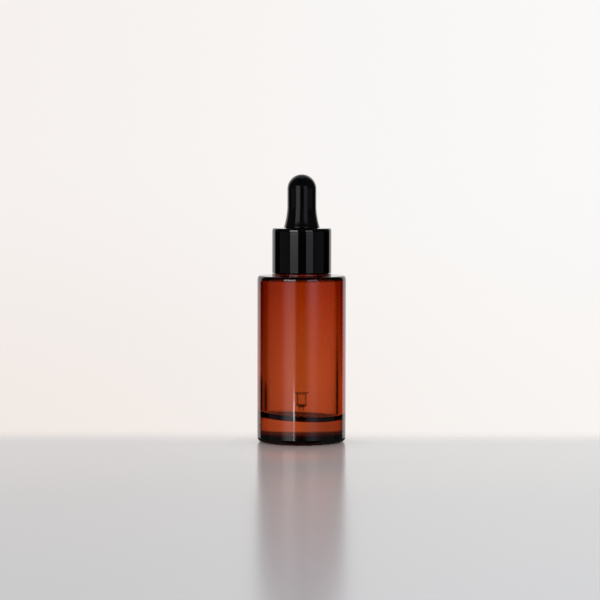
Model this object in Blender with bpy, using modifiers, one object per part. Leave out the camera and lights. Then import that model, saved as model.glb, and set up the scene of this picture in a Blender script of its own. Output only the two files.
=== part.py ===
# Amber glass dropper bottle: bottle, mouth wiper, screw collar, rubber bulb and glass pipette.
# Units are metres, +Z is up, and the origin is the centre of the standing ring on the table.

import math

import bpy

MM = 0.001

# Bottle body
BODY_DIAMETER = 33.4 * MM
BODY_HEIGHT = 62.6 * MM            # table to the flat shoulder
BODY_WALL = 3.5 * MM
HEEL_RADIUS = 1.8 * MM             # rounding between the side and the standing ring
SHOULDER_EDGE_RADIUS = 1.2 * MM
SHOULDER_WALL = 1.4 * MM
BASE_THICKNESS = 8.6 * MM          # solid glass under the lowest ring of the cavity
FLOOR_RISE = 0.6 * MM              # how far the cavity floor swells up in its middle
FLOOR_CORNER_RADIUS = 2.8 * MM
CEILING_CORNER_RADIUS = 1.4 * MM
STANDING_RING_WIDTH = 1.9 * MM
PUSH_UP_HEIGHT = 1.9 * MM          # dome pressed up under the base

# Bottle neck, and the low ring on the shoulder that the collar comes down to
NECK_DIAMETER = 15.5 * MM          # wall under the screw thread
NECK_HEIGHT = 13.8 * MM            # shoulder to the rim
NECK_WALL = 2.0 * MM
NECK_ROOT_RADIUS = 0.8 * MM
NECK_THROAT_RADIUS = 1.2 * MM      # rounding where the bore opens into the cavity
RIM_RADIUS = 0.45 * MM
SEAT_RING_OVERHANG = 0.05 * MM     # how far the ring stands out past the collar
SEAT_RING_RADIUS = 0.25 * MM       # rounding of the ring's edge and of its foot

# Fits between separate pieces
SEAT_GAP = 0.25 * MM               # between faces that rest on each other
FIT_GAP = 0.25 * MM                # round a piece that sits in another
WIPE_GAP = 0.4 * MM                # between the wiper's lip and the pipette that slides through it

# Mouth wiper
WIPER_FLANGE_INSET = 0.8 * MM      # flange edge inside the neck's outer wall
WIPER_FLANGE_THICKNESS = 0.5 * MM
WIPER_WALL = 0.7 * MM
WIPER_DEPTH = 7.0 * MM
WIPER_LIP_HEIGHT = 1.6 * MM
WIPER_LIP_THICKNESS = 0.6 * MM

# Rubber bulb
BULB_HEIGHT = 20.2 * MM            # above the collar's top face
BULB_DOME_DIAMETER = 10.9 * MM
BULB_SPREAD = 1.05 * MM            # how far the lip on the collar stands out past the dome
BULB_SKIRT_HEIGHT = 8.4 * MM       # height over which the bulb spreads
BULB_LIP_THICKNESS = 0.9 * MM
SKIRT_CURVE_SHARE = 1.65           # how late the spread starts: 1 would be a plain cone
BULB_WALL = 1.5 * MM
BULB_FLANGE_ROOM = 1.5 * MM        # between the hidden flange and the cap's bore
BULB_FLANGE_THICKNESS = 1.0 * MM
BULB_LIP_OVERLAP = 0.9 * MM        # how far the lip covers the collar round its hole
BULB_EDGE_RADIUS = 0.3 * MM

# Screw collar: threaded inner cap inside a glossy shell
THREAD_ROOM = 1.35 * MM            # between the neck and the cap's bore, for the screw thread
COLLAR_LIFT = 1.05 * MM            # collar's lower edge above the shoulder
SHELL_WALL = 0.8 * MM
SHELL_TOP = 0.6 * MM
SHELL_BEVEL = 0.7 * MM
CAP_WALL = 1.0 * MM
CAP_TOP = 0.9 * MM
CAP_RECESS = 0.5 * MM              # the cap's skirt ends this far above the shell's lower edge
CAP_LEAD_IN = 0.4 * MM

# Glass pipette
PIPETTE_DIAMETER = 5.4 * MM
PIPETTE_WALL = 0.6 * MM
PIPETTE_BEAD = 0.35 * MM           # how far the fire-polished head stands out
PIPETTE_HEAD_LENGTH = 1.4 * MM
PIPETTE_IN_BULB = 7.2 * MM         # length held inside the bulb, above the flange
TIP_CLEARANCE = 2.4 * MM           # end of the tip above the middle of the cavity floor
TIP_DIAMETER = 2.2 * MM
TIP_BORE = 1.0 * MM
TIP_TAPER_LENGTH = 0.9 * MM
TIP_NOSE_LENGTH = 1.4 * MM
STEP_DRAW = 0.55 * MM              # how far the tube is drawn in above the tip
STEP_LENGTH = 4.1 * MM
STEP_FALL = 0.3 * MM               # height of the shoulder between tube and step

# Roundness of the turned solids
LARGE_STEPS = 64
SMALL_STEPS = 40
MERGE_DISTANCE = 0.001 * MM

# Sizes that follow from the ones above
BODY_R = BODY_DIAMETER / 2
CAVITY_R = BODY_R - BODY_WALL
NECK_R = NECK_DIAMETER / 2
BORE_R = NECK_R - NECK_WALL
RIM_Z = BODY_HEIGHT + NECK_HEIGHT
CEILING_Z = BODY_HEIGHT - SHOULDER_WALL
FLOOR_Z = BASE_THICKNESS + FLOOR_RISE
WIPER_TOP_Z = RIM_Z + SEAT_GAP + WIPER_FLANGE_THICKNESS
FLANGE_Z = WIPER_TOP_Z + SEAT_GAP
FLANGE_TOP_Z = FLANGE_Z + BULB_FLANGE_THICKNESS
COLLAR_Z = BODY_HEIGHT + COLLAR_LIFT
SEAT_RING_Z = COLLAR_Z - SEAT_GAP
CAP_BORE_R = NECK_R + THREAD_ROOM
CAP_R = CAP_BORE_R + CAP_WALL
CAP_TOP_Z = FLANGE_TOP_Z + SEAT_GAP + CAP_TOP
SHELL_R = CAP_R + FIT_GAP + SHELL_WALL
SEAT_RING_R = SHELL_R + SEAT_RING_OVERHANG
COLLAR_TOP_Z = CAP_TOP_Z + SEAT_GAP + SHELL_TOP
DOME_R = BULB_DOME_DIAMETER / 2
LIP_R = DOME_R + BULB_SPREAD
WAIST_R = LIP_R - BULB_LIP_OVERLAP
HOLE_R = WAIST_R + FIT_GAP
PIPETTE_R = PIPETTE_DIAMETER / 2
PIPETTE_BORE_R = PIPETTE_R - PIPETTE_WALL
BULB_BORE_R = PIPETTE_R + FIT_GAP
PIPETTE_TOP_Z = FLANGE_Z + PIPETTE_IN_BULB


def arc(centre_r, centre_z, radius, start, end, pieces):
    """Points on a circle in the profile plane, from start to end in degrees."""
    points = []
    for i in range(pieces + 1):
        angle = math.radians(start + (end - start) * i / pieces)
        points.append((centre_r + radius * math.cos(angle), centre_z + radius * math.sin(angle)))
    return points


def ease(share):
    """Smooth rise from 0 to 1 with no slope at either end."""
    return share * share * (3 - 2 * share)


def material(name, colour, roughness, transmission=0.0):
    finish = bpy.data.materials.new(name)
    finish.use_nodes = True
    shader = finish.node_tree.nodes["Principled BSDF"]
    shader.inputs["Base Color"].default_value = (*colour, 1.0)
    shader.inputs["Roughness"].default_value = roughness
    shader.inputs["Metallic"].default_value = 0.0
    shader.inputs["Transmission Weight"].default_value = transmission
    return finish


def turned(name, profile, steps, finish, collection, parent, closed=False):
    """A solid of revolution: the profile at +X runs down its outer side, top to bottom."""
    count = len(profile)
    edges = [(i, i + 1) for i in range(count - 1)]
    if closed:
        edges.append((count - 1, 0))
    mesh = bpy.data.meshes.new(name)
    mesh.from_pydata([(r, 0.0, z) for r, z in profile], edges, [])
    piece = bpy.data.objects.new(name, mesh)
    piece.data.materials.append(finish)
    collection.objects.link(piece)
    piece.parent = parent
    spin = piece.modifiers.new("Turn", "SCREW")
    spin.axis = "Z"
    spin.angle = math.tau
    spin.steps = steps
    spin.render_steps = steps
    spin.use_merge_vertices = True
    spin.merge_threshold = MERGE_DISTANCE
    spin.use_smooth_shade = True
    return piece


def joint_empty(name, height, collection, parent=None):
    """An empty on a joint's axis, which carries the pieces that move with it."""
    empty = bpy.data.objects.new(name, None)
    empty.empty_display_size = BODY_R
    empty.location = (0.0, 0.0, height)
    collection.objects.link(empty)
    empty.parent = parent
    return empty


def bottle_profile():
    """Cavity floor centre, up the inside, over the rim, down the outside and in under the base."""
    low_r = CAVITY_R - FLOOR_CORNER_RADIUS
    floor_levels = 6
    floor = []
    for i in range(floor_levels):
        share = i / floor_levels
        floor.append((low_r * share, FLOOR_Z - FLOOR_RISE * ease(share)))
    floor += arc(low_r, BASE_THICKNESS + FLOOR_CORNER_RADIUS, FLOOR_CORNER_RADIUS, -90, 0, 6)
    ceiling = arc(CAVITY_R - CEILING_CORNER_RADIUS, CEILING_Z - CEILING_CORNER_RADIUS,
                  CEILING_CORNER_RADIUS, 0, 90, 4)
    throat = arc(BORE_R + NECK_THROAT_RADIUS, CEILING_Z + NECK_THROAT_RADIUS,
                 NECK_THROAT_RADIUS, 270, 180, 3)
    rim_in = arc(BORE_R + RIM_RADIUS, RIM_Z - RIM_RADIUS, RIM_RADIUS, 180, 90, 2)
    rim_out = arc(NECK_R - RIM_RADIUS, RIM_Z - RIM_RADIUS, RIM_RADIUS, 90, 0, 2)
    root = arc(NECK_R + NECK_ROOT_RADIUS, SEAT_RING_Z + NECK_ROOT_RADIUS, NECK_ROOT_RADIUS, 180, 270, 3)
    ring = arc(SEAT_RING_R - SEAT_RING_RADIUS, SEAT_RING_Z - SEAT_RING_RADIUS, SEAT_RING_RADIUS, 90, 0, 2)
    ring += arc(SEAT_RING_R + SEAT_RING_RADIUS, BODY_HEIGHT + SEAT_RING_RADIUS, SEAT_RING_RADIUS, 180, 270, 2)
    edge = arc(BODY_R - SHOULDER_EDGE_RADIUS, BODY_HEIGHT - SHOULDER_EDGE_RADIUS,
               SHOULDER_EDGE_RADIUS, 90, 0, 5)
    heel_centre_r = BODY_R - HEEL_RADIUS
    heel = arc(heel_centre_r, HEEL_RADIUS, HEEL_RADIUS, 0, -90, 5)
    dome_r = heel_centre_r - STANDING_RING_WIDTH
    sphere_r = (dome_r ** 2 + PUSH_UP_HEIGHT ** 2) / (2 * PUSH_UP_HEIGHT)
    rise = math.degrees(math.asin(dome_r / sphere_r))
    push_up = arc(0.0, PUSH_UP_HEIGHT - sphere_r, sphere_r, 90 - rise, 90, 5)
    push_up[0] = (dome_r, 0.0)
    push_up[-1] = (0.0, PUSH_UP_HEIGHT)
    inside = floor + ceiling + throat + rim_in
    outside = rim_out + root + ring + edge + heel + push_up
    return inside + outside


def wiper_profile():
    """Flange on the rim, sleeve in the bore, and a lip that leans in to the pipette."""
    sleeve_r = BORE_R - FIT_GAP
    inner_r = sleeve_r - WIPER_WALL
    lip_r = PIPETTE_R + WIPE_GAP
    bottom_z = WIPER_TOP_Z - WIPER_DEPTH
    lip_z = bottom_z + WIPER_LIP_HEIGHT
    flange_r = NECK_R - WIPER_FLANGE_INSET
    flange_z = WIPER_TOP_Z - WIPER_FLANGE_THICKNESS
    mouth = arc(inner_r + WIPER_WALL, WIPER_TOP_Z - WIPER_WALL, WIPER_WALL, 180, 90, 3)
    return mouth + [
        (flange_r, WIPER_TOP_Z),
        (flange_r, flange_z),
        (sleeve_r + RIM_RADIUS, flange_z),
        (sleeve_r, flange_z - RIM_RADIUS),
        (sleeve_r, lip_z),
        (lip_r + WIPER_LIP_THICKNESS, bottom_z),
        (lip_r, bottom_z),
        (lip_r, bottom_z + WIPER_LIP_THICKNESS),
        (inner_r, lip_z + WIPER_LIP_THICKNESS),
    ]


def bulb_outer_r(height):
    """Outer radius of the exposed bulb at a height above the collar, below its dome."""
    share = (BULB_SKIRT_HEIGHT - height) / (BULB_SKIRT_HEIGHT - BULB_LIP_THICKNESS)
    return DOME_R + BULB_SPREAD * max(0.0, share) ** SKIRT_CURVE_SHARE


def bulb_profile():
    """Crown, down the waisted side to the lip, round the groove and flange, and up the hollow."""
    lip_z = COLLAR_TOP_Z + SEAT_GAP
    top_z = COLLAR_TOP_Z + BULB_HEIGHT
    flange_r = CAP_BORE_R - BULB_FLANGE_ROOM
    crown = arc(0.0, top_z - DOME_R, DOME_R, 90, 0, 8)
    crown[0] = (0.0, top_z)
    side = []
    side_levels = 7
    for i in range(1, side_levels):
        height = BULB_SKIRT_HEIGHT + (BULB_LIP_THICKNESS - BULB_SKIRT_HEIGHT) * ease(i / side_levels)
        side.append((bulb_outer_r(height), COLLAR_TOP_Z + height))
    lip = [(LIP_R, COLLAR_TOP_Z + BULB_LIP_THICKNESS)] + arc(
        LIP_R - BULB_EDGE_RADIUS, lip_z + BULB_EDGE_RADIUS, BULB_EDGE_RADIUS, 0, -90, 2)
    groove = [(WAIST_R, lip_z), (WAIST_R, FLANGE_TOP_Z)]
    flange = [(flange_r, FLANGE_TOP_Z), (flange_r, FLANGE_Z)]
    mouth = [(BULB_BORE_R, FLANGE_Z)]
    bead_r = BULB_BORE_R + PIPETTE_BEAD
    bead_z = PIPETTE_TOP_Z - PIPETTE_HEAD_LENGTH
    seat_z = PIPETTE_TOP_Z + SEAT_GAP
    hollow_r = DOME_R - BULB_WALL
    hold = [(BULB_BORE_R, bead_z - PIPETTE_BEAD), (bead_r, bead_z), (bead_r, seat_z),
            (hollow_r, seat_z + hollow_r - bead_r)]
    hollow = arc(0.0, top_z - DOME_R, hollow_r, 0, 90, 6)
    hollow[-1] = (0.0, top_z - BULB_WALL)
    return crown + side + lip + groove + flange + mouth + hold + hollow


def shell_profile():
    """Glossy outer shell: a straight cup with a bevelled top edge and a hole for the bulb."""
    inner_r = SHELL_R - SHELL_WALL
    ceiling_z = COLLAR_TOP_Z - SHELL_TOP
    bevel = arc(SHELL_R - SHELL_BEVEL, COLLAR_TOP_Z - SHELL_BEVEL, SHELL_BEVEL, 90, 0, 4)
    foot = SHELL_WALL / 4
    return [(HOLE_R, COLLAR_TOP_Z)] + bevel + [
        (SHELL_R, COLLAR_Z + foot),
        (SHELL_R - foot, COLLAR_Z),
        (inner_r, COLLAR_Z),
        (inner_r, ceiling_z),
        (HOLE_R, ceiling_z),
    ]


def cap_profile():
    """Inner cap: a plain cup whose top clamps the bulb's flange onto the mouth."""
    ceiling_z = CAP_TOP_Z - CAP_TOP
    foot_z = COLLAR_Z + CAP_RECESS
    return [
        (HOLE_R, CAP_TOP_Z),
        (CAP_R - CAP_LEAD_IN, CAP_TOP_Z),
        (CAP_R, CAP_TOP_Z - CAP_LEAD_IN),
        (CAP_R, foot_z),
        (CAP_BORE_R + CAP_LEAD_IN, foot_z),
        (CAP_BORE_R, foot_z + CAP_LEAD_IN),
        (CAP_BORE_R, ceiling_z),
        (HOLE_R, ceiling_z),
    ]


def pipette_profile():
    """Head with its polished bead, straight tube, drawn-down step and tapered tip."""
    head_z = PIPETTE_TOP_Z - PIPETTE_HEAD_LENGTH
    bead_r = PIPETTE_R + PIPETTE_BEAD
    tip_z = FLOOR_Z + TIP_CLEARANCE
    taper_z = tip_z + TIP_NOSE_LENGTH
    step_z = taper_z + TIP_TAPER_LENGTH
    step_top_z = step_z + STEP_LENGTH
    tube_z = step_top_z + STEP_FALL
    step_r = PIPETTE_R - STEP_DRAW
    step_bore_r = step_r - PIPETTE_WALL
    tip_r = TIP_DIAMETER / 2
    outside = arc(bead_r - PIPETTE_BEAD, PIPETTE_TOP_Z - PIPETTE_BEAD, PIPETTE_BEAD, 90, 0, 2)
    outside += [(bead_r, head_z), (PIPETTE_R, head_z - PIPETTE_BEAD), (PIPETTE_R, tube_z)]
    outside += neck_in(PIPETTE_R, tube_z, step_r, step_top_z)
    outside += neck_in(step_r, step_z, tip_r, taper_z)
    outside += [(tip_r, tip_z)]
    inside = [(TIP_BORE / 2, tip_z), (TIP_BORE / 2, taper_z), (step_bore_r, step_z),
              (step_bore_r, step_top_z), (PIPETTE_BORE_R, tube_z), (PIPETTE_BORE_R, PIPETTE_TOP_Z)]
    return outside + inside


def neck_in(start_r, start_z, end_r, end_z):
    """Soft S-shaped fall from one radius to the next, without its first point."""
    pieces = 4
    points = []
    for i in range(1, pieces + 1):
        share = i / pieces
        points.append((start_r + (end_r - start_r) * ease(share), start_z + (end_z - start_z) * share))
    return points


def main():
    for old in list(bpy.data.objects):
        bpy.data.objects.remove(old, do_unlink=True)

    parts = bpy.data.collections.new("dropper_bottle")
    bpy.context.scene.collection.children.link(parts)

    amber_glass = material("amber_glass", (0.42, 0.055, 0.008), 0.02, 1.0)
    clear_glass = material("clear_glass", (0.95, 0.96, 0.95), 0.02, 1.0)
    black_rubber = material("black_rubber", (0.006, 0.006, 0.007), 0.42)
    gloss_black = material("gloss_black_plastic", (0.004, 0.004, 0.005), 0.06)
    black_plastic = material("black_polypropylene", (0.012, 0.012, 0.013), 0.35)
    soft_plastic = material("natural_polyethylene", (0.78, 0.78, 0.76), 0.45)

    dropper = joint_empty("dropper_axis", FLANGE_Z, parts)
    collar = joint_empty("collar_axis", COLLAR_Z - FLANGE_Z, parts, dropper)

    turned("glass_bottle", bottle_profile(), LARGE_STEPS, amber_glass, parts, None)
    turned("neck_wiper", wiper_profile(), SMALL_STEPS, soft_plastic, parts, None, closed=True)
    moved = [
        turned("rubber_bulb", bulb_profile(), SMALL_STEPS, black_rubber, parts, dropper),
        turned("glass_pipette", pipette_profile(), SMALL_STEPS, clear_glass, parts, dropper, closed=True),
    ]
    turning = [
        turned("collar_shell", shell_profile(), LARGE_STEPS, gloss_black, parts, collar, closed=True),
        turned("inner_cap", cap_profile(), LARGE_STEPS, black_plastic, parts, collar, closed=True),
    ]
    for piece in moved:
        piece.location.z = -FLANGE_Z
    for piece in turning:
        piece.location.z = -COLLAR_Z


main()
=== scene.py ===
import math

import bpy
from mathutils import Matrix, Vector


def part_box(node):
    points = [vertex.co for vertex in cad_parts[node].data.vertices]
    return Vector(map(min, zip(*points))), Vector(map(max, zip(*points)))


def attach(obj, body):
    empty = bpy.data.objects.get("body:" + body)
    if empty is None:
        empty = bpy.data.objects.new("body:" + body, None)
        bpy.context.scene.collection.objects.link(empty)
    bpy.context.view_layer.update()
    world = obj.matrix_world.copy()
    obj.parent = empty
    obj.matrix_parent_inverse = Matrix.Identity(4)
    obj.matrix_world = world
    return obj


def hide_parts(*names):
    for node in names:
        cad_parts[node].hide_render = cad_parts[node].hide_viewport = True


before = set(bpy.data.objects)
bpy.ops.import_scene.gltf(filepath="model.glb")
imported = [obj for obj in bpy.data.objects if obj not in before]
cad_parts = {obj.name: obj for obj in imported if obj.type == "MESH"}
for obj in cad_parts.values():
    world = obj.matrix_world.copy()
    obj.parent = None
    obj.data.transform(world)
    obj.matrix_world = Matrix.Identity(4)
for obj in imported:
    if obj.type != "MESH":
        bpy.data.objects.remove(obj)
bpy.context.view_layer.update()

mm = 0.001
smooth = {"interpolation_type": "SMOOTHSTEP"}    # a Map Range that eases in and out
inColour = {"data_type": "RGBA"}                 # a Mix for colours
white = (1.0, 1.0, 1.0, 1.0)


# Small helpers: colours, nodes, profiles and the lathe

lathe = {
    "smoothAngle": 38,        # degrees between faces, above which an edge shows as sharp
    "thinnest": 0.01 * mm,    # radius of the last ring, before a profile closes on the axis
    "sameRadius": 1e-9,
    "doubles": 0.002 * mm,
    "held": 0.15 * mm,        # from a corner to the ring that holds it
}


def srgb(hexText, alpha=1.0):
    # sRGB hex to the linear colour that the shader takes
    channels = [int(hexText[i:i + 2], 16) / 255 for i in (1, 3, 5)]
    linear = [c / 12.92 if c <= 0.04045 else ((c + 0.055) / 1.055) ** 2.4 for c in channels]
    return (*linear, alpha)


def grey(level):
    return (level, level, level, 1.0)


def fill(tree, node, inputs):
    # gives inputs, in order or by name, a value or a link, where a node stands for its first output in use
    inUse = [socket for socket in node.inputs if socket.enabled]
    for key, value in inputs.items() if isinstance(inputs, dict) else enumerate(inputs):
        socket = node.inputs[key] if isinstance(key, str) else inUse[key]
        if isinstance(value, bpy.types.Node):
            value = next(output for output in value.outputs if output.enabled)
        if isinstance(value, bpy.types.NodeSocket):
            tree.links.new(value, socket)
        else:
            socket.default_value = value


def addNode(tree, kind, inputs=(), **settings):
    # adds a node, sets its options, then fills its inputs
    node = tree.nodes.new("ShaderNode" + kind)
    for key, value in settings.items():
        setattr(node, key, value)
    fill(tree, node, inputs)
    return node


def newMaterial(name):
    # a new material, its node tree and its shader
    material = bpy.data.materials.new(name)
    material.use_nodes = True
    tree = material.node_tree
    return material, tree, tree.nodes["Principled BSDF"]


def arc(centreR, centreZ, radius, start, end, pieces=12, height=None):
    # points on a circle in the profile plane, or on an oval where a height is given, angles in degrees
    points = []
    for i in range(pieces + 1):
        angle = math.radians(start + (end - start) * i / pieces)
        points.append((centreR + radius * math.cos(angle), centreZ + (height or radius) * math.sin(angle)))
    return points


def run(start, end, pieces):
    # points between two profile points, ends left out, for a stretch that is shaped later
    return [(start[0] + (end[0] - start[0]) * i / pieces, start[1] + (end[1] - start[1]) * i / pieces)
            for i in range(1, pieces)]


def held(points):
    # extra rings close to each corner of a long straight stretch, so that its shading stays straight
    gap = lathe["held"]
    kept = [points[0]]
    for a, b in zip(points, points[1:]):
        length = math.dist(a, b)
        if length > 4 * gap:
            for share in (gap / length, 1 - gap / length):
                kept.append((a[0] + (b[0] - a[0]) * share, a[1] + (b[1] - a[1]) * share))
        kept.append(b)
    return kept


def ease(share):
    # smooth rise from 0 to 1
    share = min(1.0, max(0.0, share))
    return share * share * (3 - 2 * share)


def turn(name, profile, sides):
    # a circle that is extruded and resized ring by ring along the profile, then closed
    bpy.ops.object.select_all(action="DESELECT")
    onAxis = profile[0][0] == 0.0
    first = 1 if onAxis else 0
    ringR, ringZ = profile[first]
    bpy.ops.mesh.primitive_circle_add(vertices=sides, radius=ringR, location=(0, 0, ringZ),
                                      fill_type="TRIFAN" if onAxis else "NOTHING")
    piece = bpy.context.object
    piece.name = name
    piece.data.name = name
    bpy.ops.object.transform_apply(location=True, rotation=False, scale=False)
    bpy.ops.object.mode_set(mode="EDIT")
    bpy.ops.mesh.select_mode(type="EDGE")
    if onAxis:
        bpy.ops.mesh.select_all(action="DESELECT")
        bpy.ops.mesh.select_non_manifold()
    for r, z in profile[first + 1:]:
        target = max(r, lathe["thinnest"])
        bpy.ops.mesh.extrude_region_move(TRANSFORM_OT_translate={"value": (0, 0, z - ringZ)})
        if abs(target - ringR) > lathe["sameRadius"]:
            scale = target / ringR
            bpy.ops.transform.resize(value=(scale, scale, 1), center_override=(0, 0, z))
        ringR, ringZ = target, z
    if profile[-1][0] == 0.0:
        bpy.ops.mesh.merge(type="CENTER")
    bpy.ops.mesh.select_all(action="SELECT")
    bpy.ops.mesh.remove_doubles(threshold=lathe["doubles"])
    bpy.ops.mesh.normals_make_consistent(inside=False)
    bpy.ops.object.mode_set(mode="OBJECT")
    bpy.ops.object.shade_smooth_by_angle(angle=math.radians(lathe["smoothAngle"]))
    return piece


def reshape(piece, move):
    # moves every vertex by a rule that takes its radius, angle and height and gives the new radius and height
    for vertex in piece.data.vertices:
        r, angle, z = math.hypot(vertex.co.x, vertex.co.y), math.atan2(vertex.co.y, vertex.co.x), vertex.co.z
        if r > 0:
            newR, newZ = move(r, angle, z)
            vertex.co = (vertex.co.x * newR / r, vertex.co.y * newR / r, newZ)
    piece.data.update()


def threadRise(angle, z, thread, start):
    # height of a right-handed thread's ridge over the wall at this angle and height
    rise = 0.0
    for k in range(-1, int(thread["turns"]) + 2):
        along = angle / math.tau + k
        if 0 <= along <= thread["turns"]:
            across = (z - start - thread["pitch"] * along) / thread["halfWidth"]
            if abs(across) < 1:
                fade = ease(along / thread["fadeTurns"]) * ease((thread["turns"] - along) / thread["fadeTurns"])
                ridge = min(1.0, thread["crest"] * (1 + math.cos(math.pi * across)))
                rise = max(rise, thread["height"] * fade * ridge)
    return rise


def dress(piece, body, node, slot, *materials):
    # gives the piece its materials and its body, and hides the solid that it stands for; the slot is not used
    for material in materials:
        piece.data.materials.append(material)
    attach(piece, body)
    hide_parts(node)
    print("made", piece.name, len(piece.data.polygons), "faces")


# Camera at the photographed angle

camera = {
    "distance": 830 * mm,     # from the bottle's axis, along the table
    "height": 101.5 * mm,
    "pitch": 3.32,            # degrees below level
    "aside": -0.72 * mm,
    "roll": -0.11,            # degrees, the photograph leans a little
    "lens": 132.5,
    "sensor": 36,
}


def placeCamera():
    data = bpy.data.cameras.new("camera")
    data.lens = camera["lens"]
    data.sensor_width = camera["sensor"]
    item = bpy.data.objects.new("camera", data)
    item.location = (camera["aside"], -camera["distance"], camera["height"])
    item.rotation_euler = (math.radians(90 - camera["pitch"]), math.radians(camera["roll"]), 0)
    bpy.context.scene.collection.objects.link(item)
    bpy.context.scene.camera = item


placeCamera()
print("camera placed")


# World: a pale backdrop, and the studio that the polished surfaces mirror. Angles are in degrees: elevations from
# level, azimuths from the camera's side to the right, and for what shows through glass from the backdrop's middle.

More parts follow.
